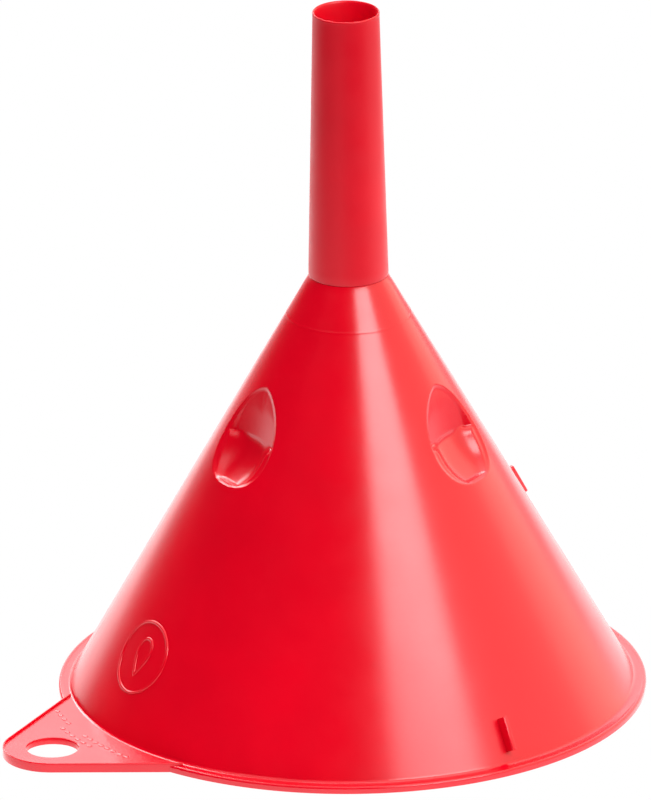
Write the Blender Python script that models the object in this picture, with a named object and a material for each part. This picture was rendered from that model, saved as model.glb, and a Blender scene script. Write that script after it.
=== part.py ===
"""Plastic canning funnel, standing on its mouth with the spout up.

Units are metres, +Z is up, and the mouth's underside lies on z = 0. The funnel's own axis is
vertical. The hanging tab points along -X, and the origin is under the middle of the whole part.
Angles named BEARING are counted from +X, counter-clockwise seen from above.
"""
import math

import bmesh
import bpy
from mathutils import Matrix, Vector

MM = 0.001

# Driving dimensions, in millimetres and degrees.
MOUTH_RADIUS = 70.0          # a size 14 funnel: 14 cm across the mouth
HEIGHT = 170.5
WALL = 1.3                   # thickness of the cone's wall, square to its surface
CONE_SLOPE = 0.561           # the cone's outer radius grows by this much per unit of height
CONE_TOP_POINT = 121.3       # height where the cone's outer surface would close to a point
SEAM_HEIGHT = 104.7          # where the spout starts
SPOUT_TIP_RADIUS = 7.9
SPOUT_TAPER = 0.0245         # growth of the spout's radius per unit of height, going down
SPOUT_WALL = 1.0
RIM_HEIGHT = 1.8
RIM_EDGE = 0.5               # chamfer on the rim's outer edges
GAP = 0.3                    # space kept between neighbouring pieces

TAB_BEARING = 180.0
TAB_THICKNESS = 2.0
TAB_HOLE_CENTRE = 82.9       # distance of the hole from the funnel's axis
TAB_HOLE_RADIUS = 6.2
TAB_END_RADIUS = 11.8
TAB_EDGE_ANGLE = 32.0        # angle of each straight edge to the tab's middle line

POCKET_BEARINGS = (180.0, -60.0, 60.0)
POCKET_TOP = 80.4            # height of the teardrop's pointed end
POCKET_LENGTH = 24.9         # along the slope
POCKET_HALF_WIDTH = 10.6
POCKET_TIP_POWER = 0.70      # the outline's shape: how fast it opens from the pointed end
POCKET_TAIL_POWER = 0.35     # and how round it closes at the other end
POCKET_WALL_SLOPE = 1.5      # steepness of the pocket's side, from its outline to its floor
FACET_SLOPE = 0.29           # depth gained per unit of length down the flat upper part
CREASE_DOWN = 12.4           # distance from the pointed end to the flat part's lower edge
CREASE_BEND = 0.02           # how that edge curves down towards the sides, per millimetre squared
STEP_LENGTH = 2.8            # length over which the flat part falls away into the bowl
BOWL_DOWN = 14.6             # distance from the pointed end to the bowl's deepest place
BOWL_REACH = 10.2            # length from there to the bowl's lower end
BOWL_DEPTH = 4.5

RIB_LENGTH = 8.2
RIB_THICKNESS = 1.2
RIB_PROUD = 2.9
RIB_PLACES = ((-87.0, 7.8), (0.0, 41.8))    # bearing and height of each rib's middle

# Derived dimensions.
CONE_ANGLE = math.atan(CONE_SLOPE)
TAB_REACH = TAB_HOLE_CENTRE + TAB_END_RADIUS
AXIS_X = (TAB_REACH - MOUTH_RADIUS) / 2.0
POCKET_SPACING = 360.0 / len(POCKET_BEARINGS)
DRILL_LENGTH = 4.0 * TAB_THICKNESS

# Fineness of the meshes.
ROUND_STEPS = 96
SPOUT_STEPS = 48
POCKET_COLUMNS = 12
PLAIN_COLUMNS = 8
POCKET_HALF_ANGLE = 22.0
POCKET_ROWS = 12
ROOT_STEPS = 12
END_STEPS = 16
HOLE_STEPS = 32
SHARP_ANGLE = 30.0


def clear_scene():
    for obj in list(bpy.data.objects):
        bpy.data.objects.remove(obj, do_unlink=True)


def plastic(name, colour, roughness):
    material = bpy.data.materials.new(name)
    material.use_nodes = True
    shader = material.node_tree.nodes["Principled BSDF"]
    shader.inputs["Base Color"].default_value = (*colour, 1.0)
    shader.inputs["Roughness"].default_value = roughness
    shader.inputs["Metallic"].default_value = 0.0
    return material


def add_object(name, mesh, material):
    obj = bpy.data.objects.new(name, mesh)
    bpy.context.scene.collection.objects.link(obj)
    mesh.materials.append(material)
    mesh.shade_smooth()
    mesh.set_sharp_from_angle(angle=math.radians(SHARP_ANGLE))
    return obj


def mesh_from(name, bm):
    bmesh.ops.recalc_face_normals(bm, faces=bm.faces)
    mesh = bpy.data.meshes.new(name)
    bm.to_mesh(mesh)
    bm.free()
    return mesh


def cone_radius(z):
    return CONE_SLOPE * (CONE_TOP_POINT - z)


def point_at(radius, bearing, z):
    """A point in metres, from its distance and bearing about the funnel's axis."""
    angle = math.radians(bearing)
    return Vector(((AXIS_X + radius * math.cos(angle)) * MM, radius * math.sin(angle) * MM, z * MM))


def turned_ring(name, profile, steps, material):
    """A ring turned about the funnel's axis from a closed profile of (radius, height) points."""
    bm = bmesh.new()
    rows = []
    for step in range(steps):
        bearing = 360.0 * step / steps
        rows.append([bm.verts.new(point_at(radius, bearing, z)) for radius, z in profile])
    for step in range(steps):
        row, following = rows[step], rows[(step + 1) % steps]
        for i in range(len(profile)):
            j = (i + 1) % len(profile)
            bm.faces.new((row[i], following[i], following[j], row[j]))
    return add_object(name, mesh_from(name, bm), material)


def pocket_half_width(along):
    """Half the teardrop's width, at a fraction along its length from the pointed end."""
    if not 0.0 < along < 1.0:
        return 0.0
    tip, tail = POCKET_TIP_POWER, POCKET_TAIL_POWER
    widest = tip / (tip + tail)
    peak = widest ** tip * (1.0 - widest) ** tail
    return POCKET_HALF_WIDTH * along ** tip * (1.0 - along) ** tail / peak


def pocket_depth(z, bearing):
    """How far the wall is pushed in, square to the cone, by the nearest teardrop pocket."""
    down = (POCKET_TOP - z) / math.cos(CONE_ANGLE)
    offsets = [(bearing - middle + 180.0) % 360.0 - 180.0 for middle in POCKET_BEARINGS]
    across = math.radians(min(offsets, key=abs)) * cone_radius(z)
    half_width = pocket_half_width(down / POCKET_LENGTH)
    inset = half_width - abs(across)
    if inset <= 0.0:
        return 0.0
    facet = FACET_SLOPE * down
    lengthwise = max(1.0 - ((down - BOWL_DOWN) / BOWL_REACH) ** 2, 0.0)
    bowl = BOWL_DEPTH * lengthwise * (1.0 - abs(across / half_width) ** 3)
    past_crease = (down - CREASE_DOWN - CREASE_BEND * across ** 2) / STEP_LENGTH
    past_crease = min(max(past_crease, 0.0), 1.0)
    floor = facet + (bowl - facet) * (1.0 - (1.0 - past_crease) ** 2)
    floor -= across ** 2 * math.cos(CONE_ANGLE) / (2.0 * cone_radius(z))    # flat, unlike the cone
    return min(POCKET_WALL_SLOPE * inset, max(floor, 0.0))


def cone_columns():
    """Bearings of the cone's columns, close together across each pocket."""
    bearings = []
    for middle in sorted(POCKET_BEARINGS):
        for i in range(POCKET_COLUMNS):
            bearings.append(middle - POCKET_HALF_ANGLE + 2.0 * POCKET_HALF_ANGLE * i / POCKET_COLUMNS)
        plain = POCKET_SPACING - 2.0 * POCKET_HALF_ANGLE
        for i in range(PLAIN_COLUMNS):
            bearings.append(middle + POCKET_HALF_ANGLE + plain * i / PLAIN_COLUMNS)
    return bearings


def cone_rows():
    """Heights of the cone's rows, from the rim up to the seam."""
    bottom, top = RIM_HEIGHT + GAP, SEAM_HEIGHT - GAP / 2.0
    pocket_bottom = POCKET_TOP - POCKET_LENGTH * math.cos(CONE_ANGLE)
    rows = [bottom, 0.5 * (bottom + pocket_bottom)]
    for i in range(POCKET_ROWS + 1):
        rows.append(pocket_bottom + (POCKET_TOP - pocket_bottom) * i / POCKET_ROWS)
    return rows + [top]


def cone_shell(material):
    """The cone's wall, with its three pockets pressed into both of its faces."""
    bearings, heights = cone_columns(), cone_rows()
    bm = bmesh.new()
    outer, inner = [], []
    for z in heights:
        outer_row, inner_row = [], []
        for bearing in bearings:
            depth = pocket_depth(z, bearing) / math.cos(CONE_ANGLE)
            outer_radius = cone_radius(z) - depth
            inner_radius = outer_radius - WALL / math.cos(CONE_ANGLE)
            outer_row.append(bm.verts.new(point_at(outer_radius, bearing, z)))
            inner_row.append(bm.verts.new(point_at(inner_radius, bearing, z)))
        outer.append(outer_row)
        inner.append(inner_row)
    columns = len(bearings)
    for i in range(columns):
        j = (i + 1) % columns
        for row in range(len(heights) - 1):
            bm.faces.new((outer[row][i], outer[row][j], outer[row + 1][j], outer[row + 1][i]))
            bm.faces.new((inner[row][j], inner[row][i], inner[row + 1][i], inner[row + 1][j]))
        bm.faces.new((outer[0][j], outer[0][i], inner[0][i], inner[0][j]))
        bm.faces.new((outer[-1][i], outer[-1][j], inner[-1][j], inner[-1][i]))
    return add_object("cone_body", mesh_from("cone_body", bm), material)


def add_rib(cone, bearing, z, material):
    """A short upright rib standing on the cone, square to its surface, and joined to it."""
    embedded = 0.5 * WALL
    angle = math.radians(bearing)
    around = Vector((-math.sin(angle), math.cos(angle), 0.0))
    outward = Vector((math.cos(angle), math.sin(angle), 0.0)) * math.cos(CONE_ANGLE)
    outward.z = math.sin(CONE_ANGLE)
    upslope = outward.cross(around)
    middle = point_at(cone_radius(z), bearing, z) + outward * (RIB_PROUD - embedded) / 2.0 * MM
    size = Vector((RIB_PROUD + embedded, RIB_THICKNESS, RIB_LENGTH)) * MM
    turn = Matrix((outward, around, upslope)).transposed().to_4x4()
    bm = bmesh.new()
    bmesh.ops.create_cube(bm, size=1.0, matrix=Matrix.Diagonal((*size, 1.0)))
    rib = add_object("rib_stock", mesh_from("rib_stock", bm), material)
    rib.matrix_world = Matrix.Translation(middle) @ turn
    rib.hide_render = True
    rib.display_type = "WIRE"
    join = cone.modifiers.new("rib", "BOOLEAN")
    join.operation = "UNION"
    join.solver = "EXACT"
    join.object = rib


def make_cone(material):
    cone = cone_shell(material)
    for bearing, z in RIB_PLACES:
        add_rib(cone, bearing, z, material)


def make_spout(material):
    """The plain tapering tube that stands on the cone's neck."""
    bottom = SEAM_HEIGHT + GAP / 2.0
    base_radius = SPOUT_TIP_RADIUS + SPOUT_TAPER * (HEIGHT - bottom)
    profile = [
        (base_radius, bottom),
        (SPOUT_TIP_RADIUS, HEIGHT),
        (SPOUT_TIP_RADIUS - SPOUT_WALL, HEIGHT),
        (base_radius - SPOUT_WALL, bottom),
    ]
    turned_ring("spout_tube", profile, SPOUT_STEPS, material)


def make_rim(material):
    """The flat flange around the mouth, which the funnel stands on."""
    wall_across = WALL / math.cos(CONE_ANGLE)
    profile = [
        (cone_radius(0.0) - wall_across, 0.0),
        (MOUTH_RADIUS - RIM_EDGE, 0.0),
        (MOUTH_RADIUS, RIM_EDGE),
        (MOUTH_RADIUS, RIM_HEIGHT - RIM_EDGE),
        (MOUTH_RADIUS - RIM_EDGE, RIM_HEIGHT),
        (cone_radius(RIM_HEIGHT) - wall_across, RIM_HEIGHT),
    ]
    turned_ring("mouth_rim", profile, ROUND_STEPS, material)


def tab_outline():
    """The tab's outline as seen from above, with +X along its middle line and the funnel's axis at 0.

    Each straight edge leaves the round end as its tangent and runs to the root's circle.
    """
    edge = math.radians(TAB_EDGE_ANGLE)
    root_radius = MOUTH_RADIUS + GAP
    start = Vector((TAB_HOLE_CENTRE, 0.0)) + TAB_END_RADIUS * Vector((math.sin(edge), math.cos(edge)))
    run = Vector((-math.cos(edge), math.sin(edge)))
    along = start.dot(run)
    root = start + run * (-along - math.sqrt(along ** 2 - start.length_squared + root_radius ** 2))
    root_angle = math.atan2(root.y, root.x)
    sweep = math.pi / 2.0 - edge
    points = []
    for i in range(ROOT_STEPS + 1):
        angle = root_angle * (1.0 - 2.0 * i / ROOT_STEPS)
        points.append((root_radius * math.cos(angle), root_radius * math.sin(angle)))
    for i in range(END_STEPS + 1):
        angle = sweep * (2.0 * i / END_STEPS - 1.0)
        points.append((TAB_HOLE_CENTRE + TAB_END_RADIUS * math.cos(angle),
                       TAB_END_RADIUS * math.sin(angle)))
    return points


def make_tab(material):
    """The flat tab with its round hanging hole."""
    turn = Matrix.Rotation(math.radians(TAB_BEARING), 4, "Z")
    place = Matrix.Translation((AXIS_X * MM, 0.0, 0.0)) @ turn
    bm = bmesh.new()
    corners = [bm.verts.new(place @ Vector((x * MM, y * MM, 0.0))) for x, y in tab_outline()]
    face = bm.faces.new(corners)
    extruded = bmesh.ops.extrude_face_region(bm, geom=[face])
    top = [item for item in extruded["geom"] if isinstance(item, bmesh.types.BMVert)]
    bmesh.ops.translate(bm, vec=(0.0, 0.0, TAB_THICKNESS * MM), verts=top)
    tab = add_object("hanging_tab", mesh_from("hanging_tab", bm), material)

    bm = bmesh.new()
    bmesh.ops.create_cone(bm, cap_ends=True, segments=HOLE_STEPS, radius1=TAB_HOLE_RADIUS * MM,
                          radius2=TAB_HOLE_RADIUS * MM, depth=DRILL_LENGTH * MM)
    drill = add_object("hole_drill", mesh_from("hole_drill", bm), material)
    drill.location = place @ Vector((TAB_HOLE_CENTRE * MM, 0.0, TAB_THICKNESS / 2.0 * MM))
    drill.hide_render = True
    drill.display_type = "WIRE"
    hole = tab.modifiers.new("hole", "BOOLEAN")
    hole.operation = "DIFFERENCE"
    hole.solver = "EXACT"
    hole.object = drill


def main():
    clear_scene()
    red = (0.62, 0.004, 0.018)
    make_cone(plastic("cone_red", red, 0.22))
    make_spout(plastic("spout_red", (0.60, 0.012, 0.020), 0.55))
    make_rim(plastic("rim_red", red, 0.25))
    make_tab(plastic("tab_red", red, 0.30))


main()
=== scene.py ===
"""A red plastic canning funnel standing on its mouth in a plain white studio.

The funnel's lengths are in millimetres until they reach a mesh, which is in metres, and the studio's are
in metres, all in the frame's own axes: +Z is up, the hanging tab points along -X and the funnel stands
on z = 0. A bearing is counted in degrees from +X, counter-clockwise seen from above. Distances "down"
and "across" lie in the cone's surface. An azimuth is counted in degrees from the camera's side of the
funnel, positive towards the camera's right.
"""
import math

import bmesh
import bpy
import numpy as np
from mathutils import Matrix, Vector


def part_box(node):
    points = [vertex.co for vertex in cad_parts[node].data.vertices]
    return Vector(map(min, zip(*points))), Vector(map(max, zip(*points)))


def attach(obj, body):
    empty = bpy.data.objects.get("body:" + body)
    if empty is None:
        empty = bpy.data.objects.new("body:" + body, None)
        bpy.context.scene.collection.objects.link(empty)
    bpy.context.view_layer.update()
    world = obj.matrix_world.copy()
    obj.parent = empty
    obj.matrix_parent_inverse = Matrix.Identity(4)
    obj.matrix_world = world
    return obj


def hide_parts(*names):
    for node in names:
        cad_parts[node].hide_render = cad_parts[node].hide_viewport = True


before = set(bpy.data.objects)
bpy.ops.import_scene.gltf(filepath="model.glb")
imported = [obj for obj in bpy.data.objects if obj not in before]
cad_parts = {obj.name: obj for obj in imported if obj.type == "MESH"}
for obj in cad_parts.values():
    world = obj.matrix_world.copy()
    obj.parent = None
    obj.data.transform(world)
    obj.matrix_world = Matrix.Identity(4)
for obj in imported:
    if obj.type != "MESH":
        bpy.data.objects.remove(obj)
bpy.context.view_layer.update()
MM = 0.001

# ------------------------------------------------------------------ sizes from the frame
SPOUT_LOW, SPOUT_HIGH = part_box("spout_tube")
RIM_LOW, RIM_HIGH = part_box("mouth_rim")
AXIS = Vector(((SPOUT_LOW.x + SPOUT_HIGH.x) / 2.0, (SPOUT_LOW.y + SPOUT_HIGH.y) / 2.0, 0.0))
MOUTH_RADIUS = (RIM_HIGH.x - RIM_LOW.x) / 2.0 / MM
HEIGHT = SPOUT_HIGH.z / MM
SEAM_HALF_GAP = 0.15             # the frame's cone and spout leave a gap, and these meet in its middle
SEAM = SPOUT_LOW.z / MM - SEAM_HALF_GAP

# ------------------------------------------------------------------ sizes of the cone
CONE_SLOPE = 0.561               # growth of the cone's radius per unit of height
CONE_POINT = 121.3               # height where the cone would close to a point
CONE_ANGLE = math.atan(CONE_SLOPE)
WALL = 1.3
WALL_ACROSS = WALL / math.cos(CONE_ANGLE)
COLUMNS = 720
CONE_END = SEAM - 0.25           # the wall is straight up to here and then turns in to the seam
SEAM_TURN = ((0.06, 0.08), (0.20, 0.0))     # its turn: inward from the wall's end, below the seam
WITNESS_HEIGHT = 95.0            # a faint ridge left around the neck by the mould
WITNESS_WIDTH = 0.22
WITNESS_PROUD = 0.035

POCKET_BEARINGS = (180.0, -60.0, 60.0)
POCKET_TOP = 80.4                # height of the teardrop's pointed end
POCKET_LENGTH = 24.9
POCKET_HALF_WIDTH = 10.6
POCKET_MARGIN = 0.3              # the fine rows of the mesh run this far past the pocket's ends
TIP_POWER, TAIL_POWER = 0.63, 0.35          # how pointed the upper end and how blunt the lower end is
LIP_DEPTH, LIP_WIDTH = 0.36, 0.28           # the rounded drop right inside the outline
SHOULDER_SLOPE = 0.18            # a gently sloping shoulder runs around the pocket inside its lip
SHOULDER_WIDTH = 0.7
SHOULDER_BLEND = 0.45
WALL_STEEPNESS = 2.2             # depth of the pocket's side wall per unit of its width
FACET_TOP = 0.6                  # the flat upper part of the floor begins here, below the pointed end
FACET_SLOPE = 0.33
FACET_RADIUS = 48.0              # it is slightly arched across
CREASE_DOWN = 11.7               # where the facet ends and the bowl begins
CREASE_BEND = 0.018
STEP_LENGTH = 2.6                # length of the step from the facet down to the bowl
BOWL_DOWN = 14.2                 # the deepest place of the bowl
BOWL_REACH = 12.6
BOWL_DEPTH = 4.2
BOWL_INSET = 0.9

RIB_LENGTH = 8.2
RIB_THICKNESS = 1.2
RIB_PROUD = 2.9
RIB_SUNK = 0.6
RIB_ROUND = 0.28
FRONT_RIB = (-87.0, 7.8)         # bearing and height of its middle
SIDE_RIB = (0.0, 41.8)

EMBLEM = (178.8, 18.9)           # bearing and height of the raised marks' middle
EMBLEM_RADIUS = 8.8
EMBLEM_LINE = (0.78, 0.30)       # width and height of a raised line
DROP_LENGTH, DROP_WIDTH = 4.7, 3.5          # from the drop's middle
DROP_POINT = 1.3                 # how slender the drop's pointed end is
DROP_LINE = (0.80, 0.26)
LINE_SUNK = 0.3

# ------------------------------------------------------------------ sizes of the spout
SPOUT_TIP = 7.9                  # outer radius
SPOUT_TAPER = 0.0245             # growth of the radius per unit of length from the tip
SPOUT_WALL = 0.9
SPOUT_FOOT = ((0.0, 0.25), (0.12, 0.06))    # its rounded foot: above the seam, inward from the taper
SPOUT_FOOT_TOP = 0.6             # above the seam, where the even taper begins
SPOUT_FLARE = ((0.8, 0.01), (0.5, 0.03), (0.3, 0.05))      # below the top, outward from the taper
SPOUT_FLARE_FOOT = 1.2           # below the top, where the even taper ends
SPOUT_LIP = ((0.03, 0.16), (-0.10, 0.02), (-0.20, 0.0), (-0.36, 0.14))   # outward from the tip, below the top
SPOUT_THINNED = ((0.6, 0.52), (1.6, 0.66))  # the wall is thinner at the tip: below the top, thickness
SPOUT_FULL_WALL = 4.0            # below the top, where the wall has its full thickness

# ------------------------------------------------------------------ sizes of the rim and tab
RIM_TOP = 1.8                    # the rim's raised outer edge
RIM_ROUND = 0.6
RIM_UNDER_ROUND = 0.35
EDGE_STEP = ((0.78, 0.01), (0.90, 0.05), (1.05, 0.11), (1.20, 0.12))     # inward from the edge, below it
FLANGE_TOP = RIM_TOP - EDGE_STEP[-1][1]
FOOT_FILLET = 1.2
MOUTH_CHAMFER = 0.3

TAB_HOLE_AT = 82.9               # distance of the hole's centre, and of the tab's round end, from the axis
TAB_HOLE = 6.2                   # radius
TAB_END = 11.8                   # radius
TAB_EDGE = math.radians(32.0)    # angle of the straight edges to the tab's middle line
TAB_ROOT = 68.1                  # the tab begins at this distance from the axis, within the rim
TAB_PLATE = RIM_TOP - 0.005
TAB_BORDER = ((0.30, 0.0), (0.08, 0.08), (0.0, 0.30), (0.0, 2.12), (0.06, 2.30), (0.20, 2.38),
              (0.36, 2.36), (0.46, 2.26), (0.52, 2.06), (0.58, TAB_PLATE))       # inward, height
TAB_HOLE_EDGE = ((0.25, 0.0), (0.0, 0.2), (0.0, TAB_PLATE - 0.22), (0.07, TAB_PLATE - 0.07),
                 (0.22, TAB_PLATE))         # outward, height
HOLE_STEPS = 96
PIP_ARCS = ((72.7, -15.5, -9.0, 4),         # distance from the axis, first and last angle, count
            (72.7, -1.6, 11.5, 8),
            (75.2, -7.0, 3.0, 6))
PIP_SIZE = (0.62, 0.85, 0.17)    # half sizes along the tab, across it and up


# ------------------------------------------------------------------ mesh helpers
def place(radius, bearing, z):
    """Points in metres from arrays of radius, bearing and height about the funnel's axis."""
    angle = np.radians(bearing)
    return np.stack(np.broadcast_arrays(AXIS.x + radius * np.cos(angle) * MM,
                                        AXIS.y + radius * np.sin(angle) * MM,
                                        z * MM), axis=-1)


def finish_object(name, mesh, sharp):
    mesh.validate()
    mesh.shade_smooth()
    mesh.set_sharp_from_angle(angle=math.radians(sharp))
    obj = bpy.data.objects.new(name, mesh)
    bpy.context.scene.collection.objects.link(obj)
    return obj


def object_from(bm, name, sharp=60.0):
    """An object from a bmesh, which is freed."""
    mesh = bpy.data.meshes.new(name)
    bm.to_mesh(mesh)
    bm.free()
    return finish_object(name, mesh, sharp)


def lathe(name, loops, sharp=35.0):
    """A closed solid from closed profiles, an array of shape (columns, points, 3), joined in a ring."""
    columns, points = loops.shape[:2]
    here = np.arange(columns * points).reshape(columns, points)
    beside = np.roll(here, -1, axis=0)
    quads = np.stack([here, beside, np.roll(beside, -1, axis=1), np.roll(here, -1, axis=1)], axis=-1)
    mesh = bpy.data.meshes.new(name)
    mesh.from_pydata(loops.reshape(-1, 3).tolist(), [], quads.reshape(-1, 4).tolist())
    return finish_object(name, mesh, sharp)


def ring_from(name, profile, columns, sharp):
    """A ring turned about the funnel's axis from closed (radius, height) points, outer side going up."""
    profile = np.array(profile)
    return lathe(name, place(profile[None, :, 0], around(columns), profile[None, :, 1]), sharp)


def around(columns):
    """Evenly spaced bearings, as a column."""
    return (np.arange(columns) * 360.0 / columns)[:, None]


def rows(levels, counts):
    """Heights from the first level to the last, with each stretch between levels evenly divided."""
    stretches = [np.linspace(start, end, count, endpoint=False)
                 for start, end, count in zip(levels, levels[1:], counts)]
    return np.concatenate(stretches + [levels[-1:]])


def arc(centre, radius, start, end, steps):
    """Points of a circle's arc in a plane, from one angle to another, in degrees."""
    angles = np.radians(np.linspace(start, end, steps + 1))
    return [(centre[0] + radius * math.cos(a), centre[1] + radius * math.sin(a)) for a in angles]


# ------------------------------------------------------------------ cone
def cone_radius(z):
    return CONE_SLOPE * (CONE_POINT - z)


def smooth_min(a, b, blend):
    share = np.clip(0.5 + 0.5 * (b - a) / np.maximum(blend, 1e-6), 0.0, 1.0)
    return b * (1.0 - share) + a * share - blend * share * (1.0 - share)


def pocket_outline(down):
    """The teardrop's half width at a distance down from its point, and how fast it widens there."""
    along = np.clip(down / POCKET_LENGTH, 1e-5, 1.0 - 1e-5)
    widest = TIP_POWER / (TIP_POWER + TAIL_POWER)
    peak = widest ** TIP_POWER * (1.0 - widest) ** TAIL_POWER
    width = POCKET_HALF_WIDTH * along ** TIP_POWER * (1.0 - along) ** TAIL_POWER / peak
    return width, width * (TIP_POWER / along - TAIL_POWER / (1.0 - along)) / POCKET_LENGTH


def pocket_floor(down, across, width):
    """Depth of the pocket's floor: a flat facet that steps down to a bowl."""
    facet = FACET_SLOPE * (down - FACET_TOP) - across ** 2 / (2.0 * FACET_RADIUS)
    bowl_width = np.maximum(width - BOWL_INSET, 1.0)
    bowl = np.clip(1.0 - ((down - BOWL_DOWN) / BOWL_REACH) ** 2, 0.0, None)
    bowl = BOWL_DEPTH * bowl * (1.0 - (across / bowl_width) ** 4)
    past = np.clip((down - CREASE_DOWN - CREASE_BEND * across ** 2) / STEP_LENGTH, 0.0, 1.0)
    return facet + (bowl - facet) * (1.0 - (1.0 - past) ** 2)


def pocket_depth(z, bearing):
    """How far the wall is pressed in, square to the cone, by the nearest teardrop pocket."""
    down = (POCKET_TOP - z) / math.cos(CONE_ANGLE)
    turns = [np.abs((bearing - middle + 180.0) % 360.0 - 180.0) for middle in POCKET_BEARINGS]
    across = np.radians(np.minimum.reduce(turns)) * cone_radius(z)
    width, widening = pocket_outline(down)
    inset = (width - across) / np.sqrt(1.0 + widening ** 2)
    inset = np.clip(np.minimum(inset, np.minimum(down, POCKET_LENGTH - down)), 0.0, None)
    curvature = math.cos(CONE_ANGLE) / cone_radius(z)
    floor = pocket_floor(down, across, width) - across ** 2 * curvature / 2.0
    shoulder = LIP_DEPTH * (1.0 - np.exp(-inset / LIP_WIDTH)) + SHOULDER_SLOPE * inset
    floor = -smooth_min(-floor, -shoulder, np.minimum(SHOULDER_BLEND, shoulder))
    wall = shoulder + WALL_STEEPNESS * np.clip(inset - SHOULDER_WIDTH, 0.0, None)
    depth = smooth_min(wall, floor, np.minimum(SHOULDER_BLEND, 0.5 * shoulder))
    return np.where(inset > 0.0, depth, 0.0)


def witness_ridge(z):
    """Height of the faint ridge around the neck."""
    return WITNESS_PROUD * np.exp(-((z - WITNESS_HEIGHT) / WITNESS_WIDTH) ** 2)


def pressed_in(radius, bearings, z):
    """A face of the cone's wall, moved square to itself where a pocket is pressed into it."""
    depth = pocket_depth(z[None, :], bearings)
    return place(radius - depth * math.cos(CONE_ANGLE), bearings, z - depth * math.sin(CONE_ANGLE))


def fillet_reach():
    """Distance from the cone's foot to where the fillet above the rim begins, along either surface."""
    return FOOT_FILLET * math.tan((math.pi / 2.0 - CONE_ANGLE) / 2.0)


def make_cone():
    foot = FLANGE_TOP + fillet_reach() * math.cos(CONE_ANGLE)
    pocket_foot = POCKET_TOP - POCKET_LENGTH * math.cos(CONE_ANGLE) - POCKET_MARGIN
    pocket_head = POCKET_TOP + POCKET_MARGIN
    outer_z = rows((foot, pocket_foot, pocket_head, WITNESS_HEIGHT - 1.0, WITNESS_HEIGHT + 1.0, CONE_END),
                   (22, 96, 10, 14, 7))
    inner_z = rows((SEAM, pocket_head, pocket_foot, foot), (6, 60, 9))
    bearings = around(COLUMNS)
    outer_radius = cone_radius(outer_z) + witness_ridge(outer_z) / math.cos(CONE_ANGLE)
    turn = np.array([(cone_radius(CONE_END) - inward, SEAM - below) for inward, below in SEAM_TURN])
    outer = pressed_in(outer_radius, bearings, outer_z)
    edge = place(turn[None, :, 0], bearings, turn[None, :, 1])
    inner = pressed_in(cone_radius(inner_z) - WALL_ACROSS, bearings, inner_z)
    return lathe("cone_shell", np.concatenate([outer, edge, inner], axis=1))


# ------------------------------------------------------------------ ribs and raised marks
def outward(bearing):
    """The direction square to the cone's surface."""
    angle = math.radians(bearing)
    return Vector((math.cos(angle) * math.cos(CONE_ANGLE), math.sin(angle) * math.cos(CONE_ANGLE),
                   math.sin(CONE_ANGLE)))


def on_cone(down, across, bearing, z, lift=0.0):
    """A point on the cone at a distance down the slope and across from the place (bearing, z)."""
    height = z - down * math.cos(CONE_ANGLE)
    radius = cone_radius(height)
    turn = bearing + math.degrees(across / radius)
    angle = math.radians(turn)
    point = Vector((radius * math.cos(angle), radius * math.sin(angle), height)) + outward(turn) * lift
    return AXIS + point * MM


def make_rib(name, bearing, z):
    """A short upright rib that stands square on the cone."""
    normal = outward(bearing)
    angle = math.radians(bearing)
    sideways = Vector((-math.sin(angle), math.cos(angle), 0.0))
    upslope = normal.cross(sideways)
    middle = on_cone(0.0, 0.0, bearing, z, (RIB_PROUD - RIB_SUNK) / 2.0)
    turn = Matrix((normal, sideways, upslope)).transposed().to_4x4()
    size = Vector((RIB_PROUD + RIB_SUNK, RIB_THICKNESS, RIB_LENGTH)) * MM
    shape = Matrix.Translation(middle) @ turn @ Matrix.Diagonal((*size, 1.0))
    bm = bmesh.new()
    bmesh.ops.create_cube(bm, size=1.0, matrix=shape)
    bmesh.ops.bevel(bm, geom=bm.edges[:], offset=RIB_ROUND * MM, segments=4, profile=0.5, affect="EDGES")
    return object_from(bm, name)


def raised_line(name, path, width, height):
    """A rounded line on the cone along a closed path of (down, across) points about the emblem's place."""
    path = np.array(path)
    step = np.roll(path, -1, axis=0) - np.roll(path, 1, axis=0)
    side = np.stack([-step[:, 1], step[:, 0]], axis=1) / np.linalg.norm(step, axis=1)[:, None]
    section = [(width / 2.0 * math.cos(a), height * math.sin(a)) for a in np.linspace(0.0, math.pi, 9)]
    section += [(-width / 2.0, -LINE_SUNK), (width / 2.0, -LINE_SUNK)]
    loops = [[on_cone(*(point + along * offset), *EMBLEM, lift) for offset, lift in section]
             for point, along in zip(path, side)]
    return lathe(name, np.array(loops), sharp=50.0)


def make_emblem():
    """A raised ring with a plain drop in it, which stands for the number moulded there."""
    turns = np.linspace(0.0, 2.0 * math.pi, 160, endpoint=False)
    circle = [(EMBLEM_RADIUS * math.cos(a), EMBLEM_RADIUS * math.sin(a)) for a in turns]
    drop = [(DROP_LENGTH * math.cos(a), DROP_WIDTH * math.sin(a) * math.sin(a / 2.0) ** DROP_POINT)
            for a in turns]
    return raised_line("emblem_ring", circle, *EMBLEM_LINE), raised_line("emblem_drop", drop, *DROP_LINE)


# ------------------------------------------------------------------ spout and rim
def spout_radius(z):
    return SPOUT_TIP + SPOUT_TAPER * (HEIGHT - z)


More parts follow.
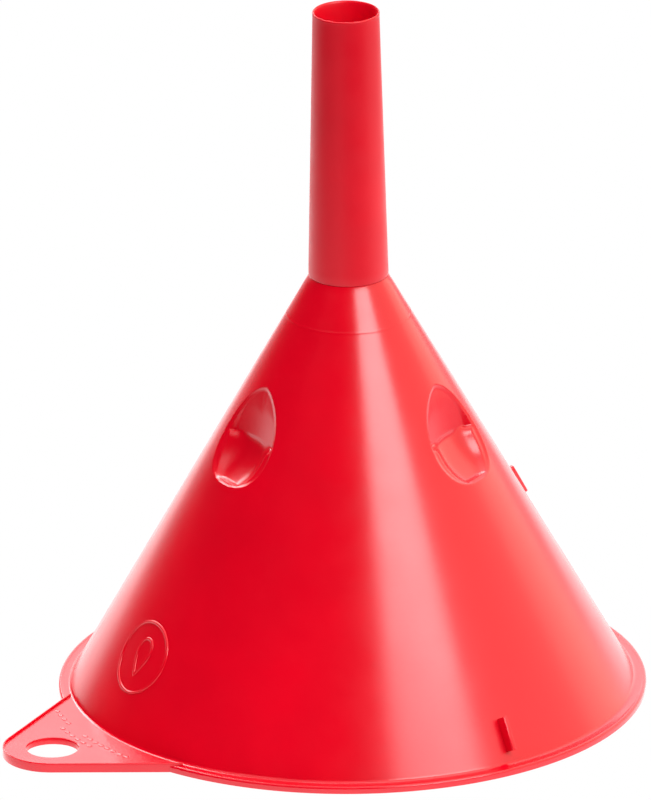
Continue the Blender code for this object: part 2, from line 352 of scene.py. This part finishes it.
def make_spout():
    """A tapering tube with a rounded foot and a thin, slightly flared lip."""
    outer = [(SEAM + above, -inward) for above, inward in SPOUT_FOOT]
    outer += [(z, 0.0) for z in np.linspace(SEAM + SPOUT_FOOT_TOP, HEIGHT - SPOUT_FLARE_FOOT, 34)]
    outer += [(HEIGHT - below, outward_by) for below, outward_by in SPOUT_FLARE]
    inner = [(HEIGHT - below, -thickness) for below, thickness in SPOUT_THINNED]
    inner += [(z, -SPOUT_WALL) for z in np.linspace(HEIGHT - SPOUT_FULL_WALL, SEAM, 12)]
    profile = [(spout_radius(z) + offset, z) for z, offset in outer]
    profile += [(SPOUT_TIP + offset, HEIGHT - below) for offset, below in SPOUT_LIP]
    profile += [(spout_radius(z) + offset, z) for z, offset in inner]
    return ring_from("spout", profile, COLUMNS // 2, sharp=40.0)


def make_rim():
    """The flat flange, with a raised outer edge and a fillet up to the cone."""
    foot = cone_radius(FLANGE_TOP)
    join = FLANGE_TOP + fillet_reach() * math.cos(CONE_ANGLE)
    under = (MOUTH_RADIUS - RIM_UNDER_ROUND, RIM_UNDER_ROUND)
    upper = (MOUTH_RADIUS - RIM_ROUND, RIM_TOP - RIM_ROUND)
    fillet = (foot + fillet_reach(), FLANGE_TOP + FOOT_FILLET)
    chamfer = cone_radius(MOUTH_CHAMFER) - WALL_ACROSS
    profile = arc(under, RIM_UNDER_ROUND, -90.0, 0.0, 5)
    profile += arc(upper, RIM_ROUND, 0.0, 90.0, 8)
    profile += [(MOUTH_RADIUS - inward, RIM_TOP - below) for inward, below in EDGE_STEP]
    profile += arc(fillet, FOOT_FILLET, 270.0, 180.0 + math.degrees(CONE_ANGLE), 8)
    profile += [(cone_radius(join) - WALL_ACROSS, join), (chamfer, MOUTH_CHAMFER),
                (chamfer + MOUTH_CHAMFER, 0.0)]
    return ring_from("rim_flange", profile, COLUMNS, sharp=30.0)


# ------------------------------------------------------------------ tab
def tab_point(x, y, z):
    """A point of the tab, which is drawn with x pointing outward along it and then faces -X."""
    return AXIS + Vector((-x, -y, z)) * MM


def tab_path():
    """The tab's open outline: points and outward normals of one straight edge, the round end, the other."""
    start = Vector((TAB_HOLE_AT, 0.0)) + TAB_END * Vector((math.sin(TAB_EDGE), math.cos(TAB_EDGE)))
    run = Vector((-math.cos(TAB_EDGE), math.sin(TAB_EDGE)))
    along = start.dot(run)
    root = start + run * (-along - math.sqrt(along ** 2 - start.length_squared + TAB_ROOT ** 2))
    normal = Vector((math.sin(TAB_EDGE), math.cos(TAB_EDGE)))
    edge = [(root.lerp(start, i / 12.0), normal) for i in range(12)]
    end = []
    for angle in np.linspace(math.pi / 2.0 - TAB_EDGE, TAB_EDGE - math.pi / 2.0, 49):
        facing = Vector((math.cos(angle), math.sin(angle)))
        end.append((Vector((TAB_HOLE_AT, 0.0)) + TAB_END * facing, facing))
    mirrored = [(Vector((p.x, -p.y)), Vector((n.x, -n.y))) for p, n in reversed(edge)]
    return edge + end + mirrored


def chained(bm, verts):
    """The edges from each vertex to the next, made where there are none."""
    return [bm.edges.get(pair) or bm.edges.new(pair) for pair in zip(verts, verts[1:])]


def skin(bm, one, two):
    """Quads between two rows of vertices."""
    for k in range(len(one) - 1):
        bm.faces.new((one[k], two[k], two[k + 1], one[k + 1]))


def make_tab():
    """The flat tab: a plate with a raised border along its free edges and a round hole."""
    bm = bmesh.new()
    path = tab_path()
    strips = [[bm.verts.new(tab_point(*(p - n * inset), z)) for inset, z in TAB_BORDER] for p, n in path]
    for one, two in zip(strips, strips[1:]):
        skin(bm, one, two)

    turns = np.linspace(0.0, 2.0 * math.pi, HOLE_STEPS, endpoint=False)
    rings = []
    for wider, z in TAB_HOLE_EDGE:
        radius = TAB_HOLE + wider
        ring = [bm.verts.new(tab_point(TAB_HOLE_AT + radius * math.cos(a), radius * math.sin(a), z))
                for a in turns]
        rings.append(ring + ring[:1])
    for one, two in zip(rings, rings[1:]):
        skin(bm, two, one)

    def root_arc(k):
        """The root's vertices at one level, along an arc about the axis from one edge to the other."""
        inset, z = TAB_BORDER[k]
        corner = path[0][0] - path[0][1] * inset
        reach = math.atan2(corner.y, corner.x)
        between = [bm.verts.new(tab_point(corner.length * math.cos(a), corner.length * math.sin(a), z))
                   for a in np.linspace(reach, -reach, 26)[1:-1]]
        return [strips[0][k]] + between + [strips[-1][k]]

    low, high = root_arc(0), root_arc(-1)
    for root, k in ((low, 0), (high, -1)):
        edges = chained(bm, root) + chained(bm, [strip[k] for strip in strips]) + chained(bm, rings[k])
        bmesh.ops.triangle_fill(bm, use_beauty=True, edges=edges)
    skin(bm, high, low)
    bm.faces.new(strips[0])
    bm.faces.new(list(reversed(strips[-1])))
    bmesh.ops.recalc_face_normals(bm, faces=bm.faces)
    plate = object_from(bm, "tab_plate", sharp=32.0)
    for face in plate.data.polygons:
        face.use_smooth = abs(face.normal.z) < 0.999      # the level faces stay flat
    return plate


def make_pips():
    """Small raised pips in arcs on the tab, between its hole and the rim."""
    bm = bmesh.new()
    for radius, first, last, count in PIP_ARCS:
        for turn in np.linspace(first, last, count):
            angle = math.radians(turn)
            centre = tab_point(radius * math.cos(angle), radius * math.sin(angle), TAB_PLATE)
            shape = Matrix.Translation(centre) @ Matrix.Rotation(angle, 4, "Z")
            shape = shape @ Matrix.Diagonal((*PIP_SIZE, 1.0))
            bmesh.ops.create_uvsphere(bm, u_segments=20, v_segments=10, radius=MM, matrix=shape)
    return object_from(bm, "tab_pips")


# ------------------------------------------------------------------ shader helpers
def node(tree, kind, inputs=None, **settings):
    """A node with its inputs linked where they are given as a socket and otherwise set."""
    made = tree.nodes.new(kind)
    for key, value in settings.items():
        setattr(made, key, value)
    for key, value in (inputs or {}).items():
        if isinstance(value, bpy.types.NodeSocket):
            tree.links.new(value, made.inputs[key])
        else:
            made.inputs[key].default_value = value
    return made


def noise(tree, where, scale, detail, roughness=0.5):
    inputs = {"Vector": where, "Scale": scale, "Detail": detail, "Roughness": roughness}
    return node(tree, "ShaderNodeTexNoise", inputs).outputs["Fac"]


def times(tree, one, two):
    return node(tree, "ShaderNodeMath", {0: one, 1: two}, operation="MULTIPLY").outputs[0]


def plus(tree, one, two):
    return node(tree, "ShaderNodeMath", {0: one, 1: two}, operation="ADD").outputs[0]


def dot(tree, way, vector):
    inputs = {0: way, 1: tuple(vector)}
    return node(tree, "ShaderNodeVectorMath", inputs, operation="DOT_PRODUCT").outputs["Value"]


def ramp(tree, value, low, high, at_low, at_high, interpolation="SMOOTHSTEP"):
    """A level that goes from one value to another while the input goes from low to high."""
    inputs = {"Value": value, "From Min": low, "From Max": high, "To Min": at_low, "To Max": at_high}
    return node(tree, "ShaderNodeMapRange", inputs, interpolation_type=interpolation).outputs["Result"]


def bump(tree, height, depth, **normal):
    """A bump of a depth in millimetres."""
    inputs = {"Height": height, "Distance": depth * MM, "Strength": 1.0, **normal}
    return node(tree, "ShaderNodeBump", inputs).outputs["Normal"]


# ------------------------------------------------------------------ materials
CLOUD_SCALE = 45.0               # scales of the faint clouding, uneven gloss and orange peel, per metre
SMEAR_SCALE = 160.0
PEEL_SCALE = 330.0
CLOUD_DARKENING, CLOUD_BRIGHTENING = 0.93, 1.05
NOISE_LOW, NOISE_HIGH = 0.3, 0.7            # the range that a noise mostly stays in


def red_plastic(name, colour, roughness, spread, grain, grain_depth, peel_depth, ior=1.55):
    """Moulded plastic: base colour with faint clouding, uneven gloss, orange peel and a finer grain."""
    material = bpy.data.materials.new(name)
    material.use_nodes = True
    tree = material.node_tree
    shader = tree.nodes["Principled BSDF"]
    where = node(tree, "ShaderNodeTexCoord").outputs["Object"]
    tint = node(tree, "ShaderNodeValToRGB", {"Fac": noise(tree, where, CLOUD_SCALE, 3.0)})
    deep, pale = tint.color_ramp.elements
    deep.position, pale.position = NOISE_LOW, NOISE_HIGH
    deep.color = (*(c * CLOUD_DARKENING for c in colour), 1.0)
    pale.color = (*(min(c * CLOUD_BRIGHTENING, 1.0) for c in colour), 1.0)
    tree.links.new(tint.outputs["Color"], shader.inputs["Base Color"])
    smears = noise(tree, where, SMEAR_SCALE, 4.0, 0.6)
    gloss = ramp(tree, smears, NOISE_LOW, NOISE_HIGH, roughness - spread, roughness + spread, "LINEAR")
    tree.links.new(gloss, shader.inputs["Roughness"])
    fine = bump(tree, noise(tree, where, 1.0 / (grain * MM), 3.0), grain_depth)
    relief = bump(tree, noise(tree, where, PEEL_SCALE, 2.0), peel_depth, Normal=fine)
    tree.links.new(relief, shader.inputs["Normal"])
    shader.inputs["IOR"].default_value = ior
    return material


CONE_RED = red_plastic("glossy_red", (0.66, 0.0, 0.011), roughness=0.24, spread=0.02,
                       grain=0.5, grain_depth=0.0008, peel_depth=0.004)
SPOUT_RED = red_plastic("matte_red", (0.66, 0.0, 0.012), roughness=0.40, spread=0.04,
                        grain=0.25, grain_depth=0.002, peel_depth=0.003, ior=1.43)
RIM_RED = red_plastic("edge_red", (0.70, 0.0, 0.012), roughness=0.18, spread=0.03,
                      grain=0.5, grain_depth=0.0006, peel_depth=0.002)
TAB_RED = red_plastic("tab_red", (0.70, 0.0, 0.012), roughness=0.22, spread=0.03,
                      grain=0.5, grain_depth=0.0006, peel_depth=0.002)


# ------------------------------------------------------------------ the funnel's pieces
def dress(piece, material, slot, *replaced):
    piece.data.materials.append(material)
    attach(piece, "root")
    if replaced:
        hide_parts(*replaced)


dress(make_cone(), CONE_RED, "cone", "cone_body")
dress(make_spout(), SPOUT_RED, "spout", "spout_tube")
dress(make_rim(), RIM_RED, "rim", "mouth_rim")
dress(make_tab(), TAB_RED, "tab", "hanging_tab")
dress(make_pips(), TAB_RED, "tab")
dress(make_rib("front_rib", *FRONT_RIB), CONE_RED, "cone")
dress(make_rib("side_rib", *SIDE_RIB), CONE_RED, "cone")
for mark in make_emblem():
    dress(mark, CONE_RED, "cone")


# ------------------------------------------------------------------ camera
CAMERA_AZIMUTH = math.radians(-31.0)        # from -Y, counter-clockwise seen from above
CAMERA_ELEVATION = 21.598
CAMERA_DISTANCE = 5.0
CAMERA_LENS = 944.31
CAMERA_ROLL = math.radians(0.589)
AIM_RIGHT, AIM_HEIGHT = -5.734, 72.705      # millimetres from the funnel's axis and above its foot
TOWARDS = Vector((math.sin(CAMERA_AZIMUTH), -math.cos(CAMERA_AZIMUTH), 0.0))
RIGHT = Vector((math.cos(CAMERA_AZIMUTH), math.sin(CAMERA_AZIMUTH), 0.0))
UP = Vector((0.0, 0.0, 1.0))


def towards(azimuth, elevation):
    """A direction by its azimuth and elevation."""
    a, e = math.radians(azimuth), math.radians(elevation)
    return (RIGHT * math.sin(a) + TOWARDS * math.cos(a)) * math.cos(e) + UP * math.sin(e)


def make_camera():
    data = bpy.data.cameras.new("camera")
    data.sensor_width = 36.0
    data.lens = CAMERA_LENS
    data.clip_end = 50.0
    camera = bpy.data.objects.new("camera", data)
    bpy.context.scene.collection.objects.link(camera)
    position = AXIS + towards(0.0, CAMERA_ELEVATION) * CAMERA_DISTANCE
    target = AXIS + (RIGHT * AIM_RIGHT + UP * AIM_HEIGHT) * MM
    forward = (target - position).normalized()
    right = forward.cross(UP).normalized()
    up = right.cross(forward)
    rolled_right = right * math.cos(CAMERA_ROLL) - up * math.sin(CAMERA_ROLL)
    rolled_up = up * math.cos(CAMERA_ROLL) + right * math.sin(CAMERA_ROLL)
    turn = Matrix((rolled_right, rolled_up, -forward)).transposed().to_4x4()
    camera.matrix_world = Matrix.Translation(position) @ turn
    bpy.context.scene.camera = camera


# ------------------------------------------------------------------ surroundings and lights
# A band of the surroundings is told by its first and last angle and the softness of its two edges. These
# angles are 0 straight behind the funnel and positive towards the camera's left. Levels are in units of
# the white that the camera sees.
BACKDROP_BAND = (-68.0, 20.0, 1.5, 6.0)
BACKDROP_LEVELS = (2.0, 1.9)     # at the horizon, and above the height below
BACKDROP_HEIGHT = 0.45           # a height here is the sine of the elevation
BESIDE_BAND = (-122.0, -68.0, 8.0, 1.5)
BESIDE_LEVEL = 1.3
LOW_LEFT_BAND = (36.0, 110.0, 8.0, 20.0)
LOW_LEFT_LEVEL = 0.20
LOW_LEFT_HEIGHTS = (-0.02, 0.12)
ROOM_LEVEL = 0.01
WARM_ANGLES = (-50.0, -20.0)     # the surroundings on the camera's right are a little warm
WARM_SIDE_BLUE = 0.80
TABLE_SIZE = 4.0
TABLE_DROP = 0.00005             # the table lies this far below the funnel
TABLE_LEVEL = 1.7
TABLE_EDGES = ((-65.0, 0.29, 0.05),         # azimuth, distance and softness of the lit area's edges
               (25.0, 0.25, 0.10),
               (115.0, 0.38, 0.02),
               (-155.0, 0.47, 0.03))
BEYOND_AZIMUTH = 160.0           # the rest of the table is dim in front and paler behind the funnel
BEYOND_EDGE = (0.1, 0.25)
BEYOND_LEVELS = (0.02, 0.55)
LIGHTS_AIM = Vector((0.0, 0.0, 0.06))
WHITE = (1.0, 1.0, 1.0, 1.0)


def band(tree, angle, low, high, soft_low, soft_high):
    """1 between two angles and 0 outside them, with soft edges."""
    rise = ramp(tree, angle, math.radians(low - soft_low), math.radians(low + soft_low), 0.0, 1.0)
    fall = ramp(tree, angle, math.radians(high - soft_high), math.radians(high + soft_high), 1.0, 0.0)
    return times(tree, rise, fall)


def seen_or_lit(tree, kind, colour, level):
    """A shader that the camera sees as plain white, and that lights the funnel at its own level."""
    lit = node(tree, kind, {"Color": colour, "Strength": level})
    plain = node(tree, kind, {"Color": WHITE, "Strength": 1.0})
    seen = node(tree, "ShaderNodeLightPath").outputs["Is Camera Ray"]
    return node(tree, "ShaderNodeMixShader", {0: seen, 1: lit.outputs[0], 2: plain.outputs[0]}).outputs[0]


def make_world():
    """White surroundings behind and beside the funnel, and a dim room on the camera's left."""
    world = bpy.data.worlds.new("studio")
    bpy.context.scene.world = world
    world.use_nodes = True
    tree = world.node_tree
    tree.nodes.clear()
    way = node(tree, "ShaderNodeTexCoord").outputs["Generated"]
    across, away = dot(tree, way, -RIGHT), dot(tree, way, -TOWARDS)
    angle = node(tree, "ShaderNodeMath", {0: across, 1: away}, operation="ARCTAN2").outputs[0]
    height = dot(tree, way, UP)
    backdrop = ramp(tree, height, 0.0, BACKDROP_HEIGHT, *BACKDROP_LEVELS)
    behind = times(tree, band(tree, angle, *BACKDROP_BAND), backdrop)
    beside = times(tree, band(tree, angle, *BESIDE_BAND), BESIDE_LEVEL)
    glow = ramp(tree, height, *LOW_LEFT_HEIGHTS, LOW_LEFT_LEVEL, 0.0)
    low_left = times(tree, band(tree, angle, *LOW_LEFT_BAND), glow)
    total = plus(tree, plus(tree, plus(tree, behind, beside), low_left), ROOM_LEVEL)
    warm = ramp(tree, angle, *(math.radians(a) for a in WARM_ANGLES), WARM_SIDE_BLUE, 1.0)
    tint = node(tree, "ShaderNodeCombineColor", {"Red": 1.0, "Green": 1.0, "Blue": warm}).outputs["Color"]
    surface = seen_or_lit(tree, "ShaderNodeBackground", tint, total)
    node(tree, "ShaderNodeOutputWorld", {"Surface": surface})


def make_table():
    """The white table. The camera sees it evenly white; what lights the funnel from it is only so large."""
    bm = bmesh.new()
    bmesh.ops.create_grid(bm, x_segments=8, y_segments=8, size=TABLE_SIZE)
    table = object_from(bm, "floor")
    table.location = (0.0, 0.0, -TABLE_DROP)
    material = bpy.data.materials.new("white_table")
    material.use_nodes = True
    tree = material.node_tree
    tree.nodes.clear()
    where = node(tree, "ShaderNodeTexCoord").outputs["Object"]

    def edge(azimuth, distance, softness, inside, outside):
        """A level that changes at a straight edge across a direction on the table."""
        reach = dot(tree, where, towards(azimuth, 0.0))
        return ramp(tree, reach, distance - softness, distance + softness, inside, outside)

    lit_area = 1.0
    for azimuth, distance, softness in TABLE_EDGES:
        lit_area = times(tree, lit_area, edge(azimuth, distance, softness, 1.0, 0.0))
    beyond = edge(BEYOND_AZIMUTH, *BEYOND_EDGE, *BEYOND_LEVELS)
    level = ramp(tree, lit_area, 0.0, 1.0, beyond, TABLE_LEVEL, "LINEAR")
    surface = seen_or_lit(tree, "ShaderNodeEmission", WHITE, level)
    node(tree, "ShaderNodeOutputMaterial", {"Surface": surface})
    table.data.materials.append(material)


def soft_light(name, azimuth, elevation, distance, width, height, radiance, spin=0.0, mirrored=True):
    """A rectangular softbox that faces the funnel; its radiance is in the same units as the levels."""
    data = bpy.data.lights.new(name, "AREA")
    data.shape = "RECTANGLE"
    data.size, data.size_y = width, height
    data.energy = radiance * math.pi * width * height
    lamp = bpy.data.objects.new(name, data)
    bpy.context.scene.collection.objects.link(lamp)
    direction = towards(azimuth, elevation)
    lamp.location = AXIS + LIGHTS_AIM + direction * distance
    facing = direction.to_track_quat("Z", "Y").to_matrix()
    lamp.rotation_euler = (facing @ Matrix.Rotation(math.radians(spin), 3, "Z")).to_euler()
    lamp.visible_camera = False
    lamp.visible_glossy = mirrored


make_world()
make_table()
make_camera()
# name, azimuth, elevation, distance, width, height, radiance
soft_light("key", 40.0, 40.5, 1.0, 0.57, 0.42, 9.5, spin=-16.2253)
soft_light("overhead", -10.0, 80.0, 1.1, 1.3, 1.3, 0.85)
soft_light("left_fill", -75.0, 55.0, 1.1, 0.6, 0.5, 5.6, mirrored=False)
soft_light("back_top", -166.0, 45.0, 1.0, 0.62, 0.36, 9.0)
soft_light("back_left", -152.0, 24.0, 1.0, 0.48, 0.2, 7.5)
bpy.context.scene.view_settings.view_transform = "Standard"
bpy.context.scene.view_settings.look = "None"
